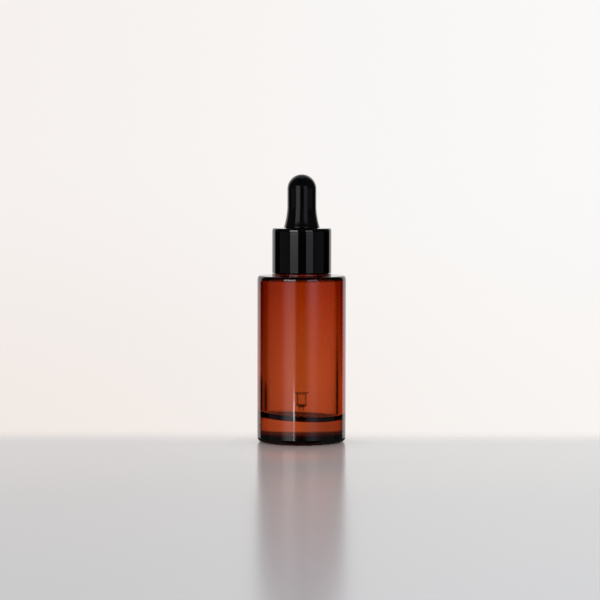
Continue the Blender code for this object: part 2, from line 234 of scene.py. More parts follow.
studio = {
    "backdropTopLeft": "#f6f1ef",
    "backdropTopRight": "#faf9f8",
    "backdropLowLeft": "#f1e9e4",
    "backdropLowRight": "#f9f5f2",
    "backdropAcross": (-0.16, 0.16),     # sideways part of the view's direction, where left turns into right
    "backdropRise": (-7.2, 0.5),         # elevations over which low turns into top
    # two panels as the collar and the bulb show them, from and to which azimuth
    "leftPanel": (14.3, 46.0),
    "rightPanel": (17.0, 44.8),
    "panelSoft": 0.6,
    # the same panels as the body shows them: brightness by azimuth
    "leftSpread": ((0, 0), (10.5, 0.0), (14, 0.12), (18.2, 0.63), (23.4, 1.22), (28.7, 1.12), (34, 1.0), (40, 0.85),
                   (45, 0.62), (50.7, 0.2), (56, 0.0), (180, 0)),
    "rightSpread": ((0, 0), (7.5, 0.0), (13, 0.35), (26, 1.0), (34, 1.0), (45, 0.4), (55, 0.0), (180, 0)),
    "bodyTop": (-2.85, -2.65),           # elevations where the body's look ends and the collar's begins
    "leftColour": (1.0, 0.99, 1.0),
    "rightColour": (0.62, 0.60, 0.70),
    # brightness by elevation, low to high
    "leftLevels": ((-8, 1.25), (-5, 1.15), (-2.9, 0.95), (-2.45, 0.8), (-1.9, 1.05), (-1.65, 1.15), (-1.58, 1.5),
                   (-1.5, 1.5), (-1.4, 0.9), (0, 0.9)),
    "rightLevels": ((-8, 0.7), (-6.57, 0.7), (-5.4, 0.75), (-4.6, 0.9), (-3.3, 1.3), (-2.85, 1.4), (-2.7, 0.9),
                    (-1.65, 1.0), (-1.58, 1.3), (-1.5, 1.3), (-1.4, 0.9), (0, 0.9)),
    "panelFoot": (-7.5, -7.1),
    "panelTop": (22.5, 26.0),
    "leftSatin": 1.0,                    # share of each panel that the satin rubber shows
    "rightSatin": 0.68,
    # the panels' bright upper parts, which only the polished edges pick up
    "leftUpper": ((0, 0), (6, 0.0), (10, 4.2), (22, 4.2), (32, 0.0), (60, 0)),
    "rightUpper": ((0, 0), (6, 0.0), (10, 1.9), (22, 1.9), (32, 0.0), (60, 0)),
    "upperTurn": (4.0, 8.0, 2.0),        # elevations over which the panels turn left, and by how much
    "gapLevel": 0.012,                   # between the panels
    "gapEdge": (15.0, 14.0),
    "sideLevel": 0.1,                    # from the panels round to the edge of the dark side
    "bodySideLevel": 0.12,
    "sideSpan": (49.0, 94.0),
    "sideSoft": 1.5,
    "lowLevel": 0.05,                    # all round, below the level of the base
    "lowFrom": (-6.6, -6.3),
    "upperLevel": 0.03,                  # all round, overhead
    "upperFrom": (1.0, 7.0),
    "edgeStrip": (17.8, 21.0),           # azimuths of a thin low light on the left
    "stripSoft": 0.9,
    "edgeLevels": ((-7.1, 0.0), (-6.97, 3.2), (-6.8, 2.8), (-6.6, 2.3), (-6.5, 3.0), (-6.4, 8.0), (-6.32, 9.5),
                   (-6.1, 9.0), (-5.88, 6.0), (-5.7, 3.0), (-5.45, 0.8), (-5.2, 0.0)),
    "backdropFrom": 134.5,               # azimuth at which the backdrop begins
    "collarBackdrop": (127.5, 135.0),    # the same at the collar's height, left and right
    "backdropSoft": 2.0,
    "backdropFoot": (-9.5, -7.6),        # elevations over which it dims, towards the floor and overhead
    "backdropTop": (25.0, 60.0),
    "footLevel": 0.06,
    "topLevel": 0.3,
    # what glass lets through: brightness by azimuth above the base's own light, low and high on the body
    "throughAside": ((-60, 0.06), (-50, 0.08), (-44, 0.4), (-25, 0.75), (-19, 0.92), (-10, 0.97), (0, 1.0),
                     (14, 1.0), (19, 0.96), (33, 0.85), (44, 0.62), (50, 0.08), (60, 0.05)),
    "throughHigh": ((-60, 0.45), (-50, 0.48), (-44, 0.52), (-33, 0.68), (-19, 0.84), (-10, 0.93), (-5, 0.97),
                    (0, 1.0), (5, 1.02), (10, 1.05), (19, 1.05), (33, 0.9), (44, 0.75), (50, 0.5), (60, 0.45)),
    "throughBase": ((-60, 0.3), (-51, 0.6), (-45, 0.74), (-34, 0.73), (-28, 0.7), (-20, 0.72), (-14, 0.76),
                    (-8, 0.82), (-4, 0.87), (0, 0.95), (8, 0.97), (17, 0.97), (23, 0.9), (28, 0.84), (35, 0.87),
                    (43, 0.78), (47, 0.77), (52, 0.65), (60, 0.1)),
    "baseFrom": (-6.45, -6.3),           # elevations between which the base's own spread ends
    "leftFall": (-5.7, -5.3),            # elevations between which low turns into high, on each side
    "rightFall": (-5.6, -3.9),
    # share left of that light where it is turned back at the cavity wall, which is near the body's edges
    "turnedHigh": ((-60, 1.0), (-45, 0.93), (-39, 0.85), (-33, 0.72), (-28, 0.45), (-20, 0.5), (-12, 0.9), (0, 1.0),
                   (14, 0.95), (26, 0.75), (34, 0.85), (45, 1.0), (60, 1.0)),
    "turnedLow": ((-60, 1.0), (-40, 0.95), (-35, 0.6), (-31, 0.15), (-26, 0.02), (-18, 0.05), (-10, 0.4), (0, 0.8),
                  (10, 1.2), (20, 1.1), (30, 1.0), (60, 1.0)),
    "turnedFall": (-5.5, -5.15),
    "turnedDepth": 2.5,                  # such light has crossed fewer glass faces than this
    # and brightness by elevation
    "throughUp": ((-30, 0.08), (-19.5, 0.12), (-16.5, 0.66), (-9, 0.7), (-6.57, 0.745), (-5.9, 0.8), (-5.4, 0.88),
                  (-4.6, 0.95), (-3.85, 1.06), (-3.3, 1.08), (-2.9, 0.95), (2, 0.95), (6, 0.6), (28, 0.45),
                  (45, 0.25), (70, 0.15)),
    "frontGlow": 0.35,                   # what clear glass sees towards the camera's side
    "frontEdge": (-0.5, 0.3),            # part of the direction away from the camera, where that side ends
    "fillLevel": 1.0,                    # soft fill for matt surfaces
}


def band(tree, value, low, high, soft):
    # 1 between two values and 0 outside them
    rising = addNode(tree, "MapRange", (value, low - soft, low + soft), **smooth)
    falling = addNode(tree, "MapRange", (value, high - soft, high + soft, 1.0, 0.0), **smooth)
    return addNode(tree, "Math", (rising, falling), operation="MULTIPLY")


def ladder(tree, value, stops):
    # a level that runs straight between given stops
    low, high = stops[0][0], stops[-1][0]
    peak = max(stop[1] for stop in stops)
    share = addNode(tree, "MapRange", (value, low, high))
    curve = addNode(tree, "FloatCurve", {"Value": share})
    points = curve.mapping.curves[0].points
    while len(points) < len(stops):
        points.new(0.5, 0.5)
    for point, (at, level) in zip(points, stops):
        point.location = ((at - low) / (high - low), level / peak)
        point.handle_type = "VECTOR"
    curve.mapping.update()
    return addNode(tree, "Math", (curve, peak), operation="MULTIPLY")


def backdropSeen(tree, x, elevation):
    # the backdrop, as the camera sees it
    across = addNode(tree, "MapRange", (x, *studio["backdropAcross"]), **smooth)
    rise = addNode(tree, "MapRange", (elevation, *studio["backdropRise"]), **smooth)
    low, top = [addNode(tree, "Mix", (across, srgb(studio[name + "Left"]), srgb(studio[name + "Right"])), **inColour)
                for name in ("backdropLow", "backdropTop")]
    return addNode(tree, "Mix", (rise, low, top), **inColour)


def mirroredSeen(tree, azimuth, elevation, path, backdrop):
    # what reflections show: dark sides, two panels, a thin low light, and the backdrop behind
    s = studio
    wide = addNode(tree, "Math", (azimuth,), operation="ABSOLUTE")
    onBody = addNode(tree, "MapRange", (elevation, *s["bodyTop"], 1.0, 0.0), **smooth)
    sideLevel = addNode(tree, "Mix", (onBody, s["sideLevel"], s["bodySideLevel"]))
    aside = band(tree, wide, *s["sideSpan"], s["sideSoft"])
    aside = addNode(tree, "Math", (aside, sideLevel), operation="MULTIPLY")
    gap = addNode(tree, "MapRange", (wide, *s["gapEdge"]), **smooth)
    gap = addNode(tree, "Math", (gap, s["gapLevel"]), operation="MULTIPLY")
    aside = addNode(tree, "Math", (aside, gap), operation="MAXIMUM")
    upper = addNode(tree, "MapRange", (elevation, *s["upperFrom"]), **smooth)
    aside = addNode(tree, "Mix", (upper, aside, s["upperLevel"]))
    below = addNode(tree, "MapRange", (elevation, *s["lowFrom"], s["lowLevel"], 0.0), **smooth)
    aside = addNode(tree, "Math", (aside, below), operation="MAXIMUM")
    mirrored = addNode(tree, "VectorMath", (white[:3], aside), operation="SCALE")

    singular = path["Is Singular Ray"]
    leanFrom, leanTo, leanBy = s["upperTurn"]
    lean = addNode(tree, "MapRange", (elevation, leanFrom, leanTo, 0.0, leanBy), **smooth)
    leant = addNode(tree, "Math", (azimuth, lean), operation="ADD")
    foot = addNode(tree, "MapRange", (elevation, *s["panelFoot"]), **smooth)
    top = addNode(tree, "MapRange", (elevation, *s["panelTop"], 1.0, 0.0), **smooth)
    upright = addNode(tree, "Math", (foot, top), operation="MULTIPLY")
    for side, name in ((-1, "left"), (1, "right")):
        turnedTo = addNode(tree, "Math", (leant, side), operation="MULTIPLY")
        ahead = addNode(tree, "Math", (turnedTo, 0.0), operation="MAXIMUM")
        sharp = band(tree, turnedTo, *s[name + "Panel"], s["panelSoft"])
        share = addNode(tree, "Mix", (onBody, sharp, ladder(tree, ahead, s[name + "Spread"])))
        level = addNode(tree, "Math", (ladder(tree, elevation, s[name + "Levels"]), upright), operation="MULTIPLY")
        satin = addNode(tree, "Mix", (singular, s[name + "Satin"], 1.0))
        level = addNode(tree, "Math", (level, satin), operation="MULTIPLY")
        above = addNode(tree, "Math", (singular, ladder(tree, elevation, s[name + "Upper"])), operation="MULTIPLY")
        level = addNode(tree, "Math", (level, above), operation="ADD")
        panel = addNode(tree, "VectorMath", (s[name + "Colour"], level), operation="SCALE")
        mirrored = addNode(tree, "Mix", (share, mirrored, panel), **inColour)

    stripFrom, stripTo = s["edgeStrip"]
    strip = band(tree, azimuth, -stripTo, -stripFrom, s["stripSoft"])
    strip = addNode(tree, "Math", (strip, ladder(tree, elevation, s["edgeLevels"])), operation="MULTIPLY")
    strip = addNode(tree, "VectorMath", (white[:3], strip), operation="SCALE")
    mirrored = addNode(tree, "VectorMath", (mirrored, strip), operation="ADD")

    rightSide = addNode(tree, "Math", (azimuth, 0.0), operation="GREATER_THAN")
    edgeAt = addNode(tree, "Mix", (rightSide, *s["collarBackdrop"]))
    edgeAt = addNode(tree, "Mix", (onBody, edgeAt, s["backdropFrom"]))
    past = addNode(tree, "Math", (wide, edgeAt), operation="SUBTRACT")
    behind = addNode(tree, "MapRange", (past, -s["backdropSoft"], s["backdropSoft"]), **smooth)
    foot = addNode(tree, "MapRange", (elevation, *s["backdropFoot"], s["footLevel"], 1.0), **smooth)
    top = addNode(tree, "MapRange", (elevation, *s["backdropTop"], 1.0, s["topLevel"]), **smooth)
    level = addNode(tree, "Math", (foot, top), operation="MULTIPLY")
    dimmed = addNode(tree, "VectorMath", (backdrop, level), operation="SCALE")
    return addNode(tree, "Mix", (behind, mirrored, dimmed), **inColour)


def throughSeen(tree, y, azimuth, fromBack, elevation, path, backdrop):
    # what shows through the glass
    s = studio
    rightSide = addNode(tree, "Math", (azimuth, 0.0), operation="GREATER_THAN")
    leftFalls = addNode(tree, "MapRange", (elevation, *s["leftFall"]), **smooth)
    rightFalls = addNode(tree, "MapRange", (elevation, *s["rightFall"]), **smooth)
    falls = addNode(tree, "Mix", (rightSide, leftFalls, rightFalls))
    sideways = (ladder(tree, fromBack, s["throughAside"]), ladder(tree, fromBack, s["throughHigh"]))
    sideways = addNode(tree, "Mix", (falls, *sideways))
    falls = addNode(tree, "MapRange", (elevation, *s["turnedFall"]), **smooth)
    turned = (ladder(tree, fromBack, s["turnedLow"]), ladder(tree, fromBack, s["turnedHigh"]))
    turned = addNode(tree, "Mix", (falls, *turned))
    once = addNode(tree, "Math", (path["Transmission Depth"], s["turnedDepth"]), operation="LESS_THAN")
    turned = addNode(tree, "Mix", (once, 1.0, turned))
    sideways = addNode(tree, "Math", (sideways, turned), operation="MULTIPLY")
    aboveBase = addNode(tree, "MapRange", (elevation, *s["baseFrom"]), **smooth)
    sideways = addNode(tree, "Mix", (aboveBase, ladder(tree, fromBack, s["throughBase"]), sideways))
    level = addNode(tree, "Math", (sideways, ladder(tree, elevation, s["throughUp"])), operation="MULTIPLY")
    through = addNode(tree, "VectorMath", (backdrop, level), operation="SCALE")
    away = addNode(tree, "MapRange", (y, *s["frontEdge"]), **smooth)
    return addNode(tree, "Mix", (away, grey(s["frontGlow"]), through), **inColour)


def buildWorld():
    world = bpy.data.worlds.new("studio")
    bpy.context.scene.world = world
    world.use_nodes = True
    tree = world.node_tree
    tree.nodes.clear()
    direction = addNode(tree, "TexCoord").outputs["Generated"]
    x, y, z = addNode(tree, "SeparateXYZ", (direction,)).outputs
    towards = addNode(tree, "Math", (y, -1.0), operation="MULTIPLY")
    azimuth = addNode(tree, "Math", (x, towards), operation="ARCTAN2")
    fromBack = addNode(tree, "Math", (x, y), operation="ARCTAN2")
    elevation = addNode(tree, "Math", (z,), operation="ARCSINE")
    azimuth, fromBack, elevation = [addNode(tree, "Math", (angle,), operation="DEGREES")
                                    for angle in (azimuth, fromBack, elevation)]
    path = addNode(tree, "LightPath").outputs
    backdrop = backdropSeen(tree, x, elevation)
    mirrored = mirroredSeen(tree, azimuth, elevation, path, backdrop)
    through = throughSeen(tree, y, azimuth, fromBack, elevation, path, backdrop)
    colour = addNode(tree, "Mix", (path["Is Glossy Ray"], grey(studio["fillLevel"]), mirrored), **inColour)
    colour = addNode(tree, "Mix", (path["Is Transmission Ray"], colour, through), **inColour)
    colour = addNode(tree, "Mix", (path["Is Camera Ray"], colour, backdrop), **inColour)
    light = addNode(tree, "Background", {"Color": colour, "Strength": 1.0})
    addNode(tree, "OutputWorld", {"Surface": light})


buildWorld()
print("studio set")


# Floor: a pale polished table top that fades out just behind the bottle. Lengths run from the camera's side, which
# is less than 0, to the back.

floor = {
    # painted light: the floor's colour is lighter towards the right
    "left": "#b4b3b3",
    "right": "#c2c1c1",
    "across": (-90 * mm, 90 * mm),
    "lift": 1.03,                         # near the bottle, so that its shade stays as faint as in the photograph
    "liftLength": (-95 * mm, -18 * mm),
    "cool": (0.975, 1.0, 1.045, 1.0),     # painted light: tinted cooler far in front
    "coolLength": (-300 * mm, -60 * mm),
    "roughness": 0.13,
    "worn": 0.2,                          # roughness far in front, where the mirror image has faded
    "wornLength": (-160 * mm, -40 * mm),
    "halo": 1.13,                         # round the bottle's foot, where light gathers
    "haloReach": (75 * mm, 25 * mm),
    "haloAside": (12 * mm, 20 * mm),
    "cast": (1.2, 0.93, 0.88, 1.0),       # amber light that falls in front of the bottle
    "castAside": (22 * mm, 7 * mm),
    "castLength": (-75 * mm, -15 * mm),
    "fade": (-8 * mm, 37 * mm),           # where it starts to fade and where it is gone
    "front": -3.0,
    "back": 0.06,
    "width": 6.0,
    "drop": 0.05 * mm,
}


def buildFloor():
    depth = floor["back"] - floor["front"]
    bpy.ops.object.select_all(action="DESELECT")
    bpy.ops.mesh.primitive_plane_add(size=1, location=(0, floor["front"] + depth / 2, -floor["drop"]))
    top = bpy.context.object
    top.name = "floor"
    top.scale = (floor["width"], depth, 1)
    bpy.ops.object.transform_apply(location=True, rotation=True, scale=True)
    top.data.materials.append(tableTop())


def tableTop():
    # lacquered board, polished: pale, with a soft mirror image that wears away towards the camera
    f = floor
    material, tree, shader = newMaterial("pale polished table top")
    place = addNode(tree, "TexCoord").outputs["Object"]
    x, y = addNode(tree, "SeparateXYZ", (place,)).outputs[:2]
    wide = addNode(tree, "Math", (x,), operation="ABSOLUTE")
    reach = addNode(tree, "VectorMath", (place,), operation="LENGTH")
    rough = addNode(tree, "MapRange", (y, *f["wornLength"], f["worn"], f["roughness"]), **smooth)
    # painted light: lighter from left to right across the floor
    across = addNode(tree, "MapRange", (x, *f["across"]), **smooth)
    colour = addNode(tree, "Mix", (across, srgb(f["left"]), srgb(f["right"])), **inColour)
    lift = addNode(tree, "MapRange", (y, *f["liftLength"], 1.0, f["lift"]), **smooth)
    colour = addNode(tree, "VectorMath", (colour, lift), operation="SCALE")
    near = addNode(tree, "MapRange", (reach, *f["haloReach"], 0.0, f["halo"] - 1), **smooth)
    beside = addNode(tree, "MapRange", (wide, *f["haloAside"]), **smooth)
    halo = addNode(tree, "Math", (near, beside), operation="MULTIPLY")
    halo = addNode(tree, "Math", (halo, 1.0), operation="ADD")
    colour = addNode(tree, "VectorMath", (colour, halo), operation="SCALE")
    beside = addNode(tree, "MapRange", (wide, *f["castAside"]), **smooth)
    along = addNode(tree, "MapRange", (y, *f["castLength"]), **smooth)
    cast = addNode(tree, "Math", (beside, along), operation="MULTIPLY")
    cast = addNode(tree, "Mix", (cast, white, f["cast"]), **inColour)
    colour = addNode(tree, "VectorMath", (colour, cast), operation="MULTIPLY")
    # painted light: tinted cooler far in front
    along = addNode(tree, "MapRange", (y, *f["coolLength"]), **smooth)
    cool = addNode(tree, "Mix", (along, f["cool"], white), **inColour)
    colour = addNode(tree, "VectorMath", (colour, cool), operation="MULTIPLY")
    fill(tree, shader, {"Base Color": colour, "Roughness": rough})
    # light that the bottle mirrors passes the floor, as the studio stands for the table there
    path = addNode(tree, "LightPath").outputs
    mirrored = addNode(tree, "Math", (path["Is Glossy Ray"], path["Is Transmission Ray"]), operation="SUBTRACT")
    seen = addNode(tree, "Math", (1.0, mirrored), operation="SUBTRACT")
    fade = addNode(tree, "MapRange", (y, *f["fade"], 1.0, 0.0), **smooth)
    seen = addNode(tree, "Math", (fade, seen), operation="MULTIPLY")
    clear = addNode(tree, "BsdfTransparent")
    surface = addNode(tree, "MixShader", (seen, clear, shader))
    fill(tree, tree.nodes["Material Output"], {"Surface": surface})
    return material


buildFloor()
print("floor laid")


# Bottle: pressed clear glass with a heavy base, stained amber on the outside

bottle = {
    "shoulderZ": 62.6 * mm,
    "wall": 3.5 * mm,
    "shoulderWall": 1.05 * mm,
    "heelRadius": 1.8 * mm,
    "edgeWidth": 0.8 * mm,         # the shoulder's edge is rounded longer downwards than inwards
    "edgeDepth": 1.7 * mm,
    "baseThickness": 8.25 * mm,
    "cornerWidth": 7.8 * mm,       # the cavity floor sweeps up to the wall
    "cornerHeight": 3.3 * mm,
    "floorRise": 0.4 * mm,         # the cavity floor is domed in the middle
    "ceilingCorner": 0.95 * mm,
    "seatRadius": 11.2 * mm,       # low ring on the shoulder that the collar comes down to
    "seatHeight": 0.85 * mm,
    "seatEdge": 0.25 * mm,
    "standingRing": 1.9 * mm,
    "pushUp": 1.9 * mm,
    "neckRadius": 7.75 * mm,
    "neckWall": 2.0 * mm,
    "rootRadius": 0.8 * mm,
    "throatRadius": 1.2 * mm,
    "rimRadius": 0.45 * mm,
    # the cavity floor as the press leaves it
    "floorTilt": (0.055, 0.035),   # rise per length towards the left, at the front and back
    "floorSlope": 0.1,             # fall per length towards the back
    "floorDip": 3.0,               # fall towards both sides, per length squared
    "dipWidth": 10 * mm,
    "bendTop": 26 * mm,            # where this has died away up the wall, and over what height
    "bendHeight": 16 * mm,
    "bendSlack": 0.1 * mm,         # how far from the cavity's faces a vertex still counts as on them
    "ceilingDepth": 3 * mm,
    # which faces are unstained
    "liningSlack": 0.05 * mm,
    "liningReach": 1 * mm,
    "boreInset": 0.5 * mm,
    "boreDepth": 4 * mm,
    "glass": "#fdfefd",
    "ior": 1.5,
    # faces round the bottle and along its profile
    "sides": 192,
    "floorSteps": 24,
    "wallSteps": 22,
    "neckSteps": 40,
    "rootSteps": 8,
    "rimSteps": 6,
    "seatSteps": 5,
    "edgeSteps": 20,
    "heelSteps": 14,
}
stain = {
    "low": "#c75324",              # seen through both walls, near the base and near the shoulder
    "high": "#9d2c03",
    "bodyZ": (16 * mm, 62 * mm),
    "heel": "#210502",             # painted shade: the stain turns near black round the heel
    "heelZ": (2.4 * mm, 3.3 * mm),
    # painted shade: darker still at the foot
    "foot": "#040000",
    "footZ": (1.3 * mm, 1.9 * mm),
    "edge": "#150200",             # painted shade: near black on the shoulder's edge
    "edgeZ": (61.35 * mm, 62.1 * mm),
    "top": "#8a2412",              # neck and seat ring
    "topZ": (62.55 * mm, 62.8 * mm),
    "slantPower": 1.34,
    "limbShadePower": (1.05, 1.6),       # painted shade near the outline: near the foot and near the shoulder
    "limbShadeFacing": (0.41, 0.55),
    "corner": 1.7,                 # painted shade: the limb is deeper still close under the shoulder
    "cornerZ": (55.5 * mm, 61.0 * mm),
    "cornerFacing": (0.5, 0.66),
    "turned": (0.4, 0.03, 0.004, 1.0),    # red, green and blue left in light that the glass turns back
}
neckThread = {
    "pitch": 3.175 * mm,
    "turns": 1.9,
    "fromRim": 2.2 * mm,
    "height": 1.05 * mm,
    "halfWidth": 0.95 * mm,
    "crest": 0.7,                  # more than 0.5 flattens the ridge
    "fadeTurns": 0.14,
    "onWall": 0.01 * mm,
}


def bottleProfile(outerR, rimZ):
    # cavity floor centre, up the inside, over the rim and down the outside to the push-up
    b = bottle
    cavityR, boreR = outerR - b["wall"], b["neckRadius"] - b["neckWall"]
    ceilingZ = b["shoulderZ"] - b["shoulderWall"]
    ringR = cavityR - b["cornerWidth"]
    steps = b["floorSteps"]
    floorBowl = []
    for i in range(steps):
        swell = 0.5 * (1 + math.cos(math.pi * i / steps))
        floorBowl.append((ringR * i / steps, b["baseThickness"] + b["floorRise"] * swell))
    floorBowl += arc(ringR, b["baseThickness"] + b["cornerHeight"], b["cornerWidth"], -90, 0, steps,
                     b["cornerHeight"])
    ceilingArc = arc(cavityR - b["ceilingCorner"], ceilingZ - b["ceilingCorner"], b["ceilingCorner"], 0, 90)
    throat = arc(boreR + b["throatRadius"], ceilingZ + b["throatRadius"], b["throatRadius"], 270, 180, b["rootSteps"])
    rimIn = arc(boreR + b["rimRadius"], rimZ - b["rimRadius"], b["rimRadius"], 180, 90, b["rimSteps"])
    rimOut = arc(b["neckRadius"] - b["rimRadius"], rimZ - b["rimRadius"], b["rimRadius"], 90, 0, b["rimSteps"])
    seatZ = b["shoulderZ"] + b["seatHeight"]
    root = arc(b["neckRadius"] + b["rootRadius"], seatZ + b["rootRadius"], b["rootRadius"], 180, 270, b["rootSteps"])
    seat = arc(b["seatRadius"] - b["seatEdge"], seatZ - b["seatEdge"], b["seatEdge"], 90, 0, b["seatSteps"])
    seat += arc(b["seatRadius"] + b["seatEdge"], b["shoulderZ"] + b["seatEdge"], b["seatEdge"], 180, 270,
                b["seatSteps"])
    edge = arc(outerR - b["edgeWidth"], b["shoulderZ"] - b["edgeDepth"], b["edgeWidth"], 90, 0, b["edgeSteps"],
               b["edgeDepth"])
    heelR = outerR - b["heelRadius"]
    heel = arc(heelR, b["heelRadius"], b["heelRadius"], 0, -90, b["heelSteps"])
    domeR = heelR - b["standingRing"]
    sphereR = (domeR ** 2 + b["pushUp"] ** 2) / (2 * b["pushUp"])
    rise = math.degrees(math.asin(domeR / sphereR))
    dome = arc(0, b["pushUp"] - sphereR, sphereR, 90 - rise, 90)[:-1] + [(0.0, b["pushUp"])]
    inside = floorBowl + run(floorBowl[-1], ceilingArc[0], b["wallSteps"]) + ceilingArc + throat
    outside = rimOut + run(rimOut[-1], root[0], b["neckSteps"]) + root + seat + edge + heel + dome
    return held(inside + rimIn), held(outside)


def makeBottle():
    b = bottle
    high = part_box("glass_bottle")[1]
    inside, outside = bottleProfile(high.x, high.z)
    piece = turn("glass_bottle_looks", inside + outside, b["sides"])
    threadStart = high.z - neckThread["fromRim"] - neckThread["pitch"] * neckThread["turns"]
    wallR, cavityR = b["neckRadius"], high.x - b["wall"]
    front, back = b["floorTilt"]

    def move(r, angle, z):
        if z > b["shoulderZ"] and abs(r - wallR) < neckThread["onWall"]:
            return r + threadRise(angle, z, neckThread, threadStart), z
        aboveFloor = b["baseThickness"] - b["bendSlack"] < z < b["shoulderZ"] - b["ceilingDepth"]
        if aboveFloor and r < cavityR + b["bendSlack"]:
            x, y = r * math.cos(angle), r * math.sin(angle)
            tilt = front + (back - front) * ease(0.5 + 0.5 * y / cavityR)
            dip = min(abs(x), b["dipWidth"]) ** 2 * b["floorDip"]
            share = ease((b["bendTop"] - z) / b["bendHeight"])
            return r, z - (x * tilt + max(y, 0.0) * b["floorSlope"] + dip) * share
        return r, z

    reshape(piece, move)
    outer, inner = amberGlass(), clearGlass()
    for face in piece.data.polygons:
        r, z = math.hypot(face.center.x, face.center.y), face.center.z
        inBody = b["baseThickness"] - b["liningReach"] < z < b["shoulderZ"] - b["liningReach"]
        lining = inBody and r < cavityR + b["liningSlack"]
        bore = r < wallR - b["rimRadius"] - b["boreInset"] and z >= b["shoulderZ"] - b["boreDepth"]
        face.material_index = 1 if lining or bore else 0
    dress(piece, "bottle", "glass_bottle", "amber_glass", outer, inner)


def powered(tree, colour, power):
    # each channel of a colour to a power, as light does that crosses a stain more than once
    channels = addNode(tree, "SeparateColor", (colour,)).outputs
    raised = [addNode(tree, "Math", (channel, power), operation="POWER") for channel in channels]
    return addNode(tree, "CombineColor", raised)


def amberGlass():
    # soda-lime glass with a sprayed transparent amber stain. Light crosses the stain at a slant near the sides,
    # which deepens it. Light turned back on the stained side is all but swallowed, which blackens the base.
    # The stain also carries painted shade: near black at the heel, the foot and the shoulder's edge, and deeper
    # near the outline and close under the shoulder.
    s = stain
    material, tree, shader = newMaterial("amber stained soda-lime glass")
    place = addNode(tree, "TexCoord").outputs["Object"]
    z = addNode(tree, "SeparateXYZ", (place,)).outputs["Z"]
    height = addNode(tree, "MapRange", (z, *s["bodyZ"]), **smooth)
    twice = addNode(tree, "Mix", (height, srgb(s["low"]), srgb(s["high"])), **inColour)
    # painted shade: the stain turns near black towards the heel and the foot
    for name in ("heel", "foot"):
        above = addNode(tree, "MapRange", (z, *s[name + "Z"]), **smooth)
        twice = addNode(tree, "Mix", (above, srgb(s[name]), twice), **inColour)
    # painted shade on the shoulder's edge, then the neck and seat ring's own stain
    for name in ("edge", "top"):
        above = addNode(tree, "MapRange", (z, *s[name + "Z"]), **smooth)
        twice = addNode(tree, "Mix", (above, twice, srgb(s[name])), **inColour)
    facing = addNode(tree, "LayerWeight", {"Blend": 0.5}).outputs["Facing"]
    slant = addNode(tree, "Math", (2.0, facing), operation="SUBTRACT")
    slant = addNode(tree, "Math", (facing, slant), operation="MULTIPLY")
    face = addNode(tree, "Mix", (slant, twice, powered(tree, twice, s["slantPower"])), **inColour)
    # painted shade: the stain deepens further near the outline
    rim = addNode(tree, "Mix", (height, *s["limbShadePower"]))
    atRim = addNode(tree, "MapRange", (facing, *s["limbShadeFacing"]), **smooth)
    face = addNode(tree, "Mix", (atRim, face, powered(tree, face, rim)), **inColour)
    # painted shade: deeper still close under the shoulder
    underShoulder = addNode(tree, "MapRange", (z, *s["cornerZ"]), **smooth)
    atCorner = addNode(tree, "MapRange", (facing, *s["cornerFacing"]), **smooth)
    corner = addNode(tree, "Math", (underShoulder, atCorner), operation="MULTIPLY")
    face = addNode(tree, "Mix", (corner, face, powered(tree, face, s["corner"])), **inColour)
    fill(tree, shader, {"Base Color": face, "Roughness": 0.0, "IOR": bottle["ior"], "Transmission Weight": 1.0})
    once = powered(tree, face, 0.5)      # one crossing takes the square root of what two take
    out = addNode(tree, "BsdfRefraction", {"Color": once, "Roughness": 0.0, "IOR": bottle["ior"]})
    straight = addNode(tree, "Math", (1.0, facing), operation="SUBTRACT")
    straight = addNode(tree, "Math", (straight, straight), operation="MULTIPLY")
    back = addNode(tree, "Mix", (straight, grey(0.0), s["turned"]), **inColour)
    turned = addNode(tree, "BsdfAnisotropic", {"Color": back, "Roughness": 0.0})
    fresnel = addNode(tree, "Fresnel", {"IOR": bottle["ior"]})
    inner = addNode(tree, "MixShader", (fresnel, out, turned))
    side = addNode(tree, "NewGeometry").outputs["Backfacing"]
    both = addNode(tree, "MixShader", (side, shader, inner))
    fill(tree, tree.nodes["Material Output"], {"Surface": both})
    return material


def clearGlass():
    # the same soda-lime glass, unstained inside
    material, tree, shader = newMaterial("clear soda-lime glass")
    fill(tree, shader, {"Base Color": srgb(bottle["glass"]), "Roughness": 0.0, "IOR": bottle["ior"],
                        "Transmission Weight": 1.0})
    return material


makeBottle()


# Pipette: thin drawn glass tube

pipette = {
    "wall": 0.6 * mm,
    "tipWall": 0.66 * mm,
    "funnelRise": 0.5 * mm,   # the bore opens out this far above the outside's taper
    "bead": 0.35 * mm,
    "headLength": 1.4 * mm,
    "tubeRadius": 2.7 * mm,
    "stepDraw": 0.55 * mm,
    "stepFall": 0.4 * mm,
    "stepLength": 4.4 * mm,
    "taperLength": 0.8 * mm,
    "noseLength": 1.2 * mm,
    "noseEdge": 0.2 * mm,
    "tipRadius": 1.1 * mm,
    "tipBore": 0.5 * mm,
    "tubeFrom": 0.3 * mm,     # above the step, where the tube's own glass begins
    "glass": "#fbfdfb",
    "ior": 1.47,
    "tubeIor": 1.015,         # of the tube behind the bottle's glass
    "behindDepth": 1.5,       # light that has crossed more glass faces than this comes through the bottle
    "sides": 96,
    "fallSteps": 8,
    "beadSteps": 6,
    "noseSteps": 4,
}


def fall(startR, startZ, endR, endZ):
    # soft S-shaped change of radius along the tube
    steps = pipette["fallSteps"]
    return [(startR + (endR - startR) * ease(i / steps), startZ + (endZ - startZ) * i / steps)
            for i in range(steps + 1)]


